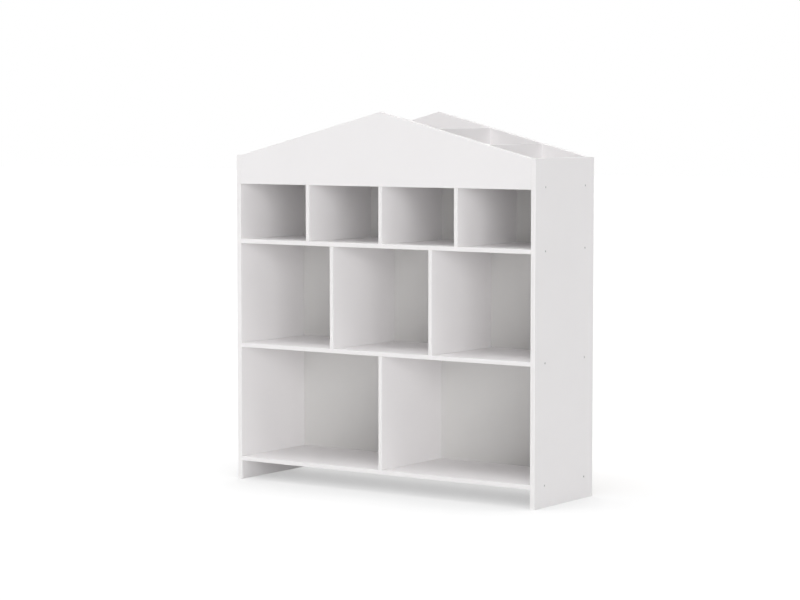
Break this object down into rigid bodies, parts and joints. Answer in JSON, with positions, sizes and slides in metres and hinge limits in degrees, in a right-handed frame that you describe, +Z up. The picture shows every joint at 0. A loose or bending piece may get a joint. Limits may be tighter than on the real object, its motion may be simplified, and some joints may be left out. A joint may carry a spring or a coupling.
{
  "type": "house shaped bookcase",
  "caption": "White house-shaped bookcase for a child's room: rows of open cells with closed backs, and a divided book tray behind a gabled front.",
  "frame": {"origin": "on the floor, under the middle of the bookcase", "axes": "+Z up, -Y out of the open front, +Y towards the wall, +X to the right as seen from the front"},
  "size_m": [1, 0.3, 1.05],
  "materials": {
    "white_board": "particle board with white melamine faces and banded edges, satin",
    "white_back_board": "thin fibreboard with one white lacquered face, satin",
    "plated_steel": "bright zinc plated",
    "zinc_alloy": "die-cast, dull",
    "dowel_wood": "bare beech with fine flutes",
    "nail_steel": "plain bright wire"
  },
  "bodies": {
    "root": {"side_panel_left": "white_board", "side_panel_right": "white_board", "bottom_board": "white_board", "lower_shelf": "white_board", "upper_shelf": "white_board", "top_board": "white_board", "lower_divider": "white_board", "middle_divider_left": "white_board", "middle_divider_right": "white_board", "upper_divider_left": "white_board", "upper_divider_centre": "white_board", "upper_divider_right": "white_board", "front_gable": "white_board", "back_gable": "white_board", "tray_divider_far_left": "white_board", "tray_divider_left": "white_board", "tray_divider_right": "white_board", "tray_divider_far_right": "white_board", "back_panel_lower": "white_back_board", "back_panel_middle": "white_back_board", "back_panel_upper": "white_back_board", "side_screws_left": "plated_steel", "side_screws_right": "plated_steel", "divider_screws": "plated_steel", "tray_divider_screws": "plated_steel", "divider_dowels": "dowel_wood", "gable_edge_dowels": "dowel_wood", "gable_end_dowels": "dowel_wood", "cam_bolts": "plated_steel", "cam_discs": "zinc_alloy", "back_nails": "nail_steel"}
  },
  "joints": []
}
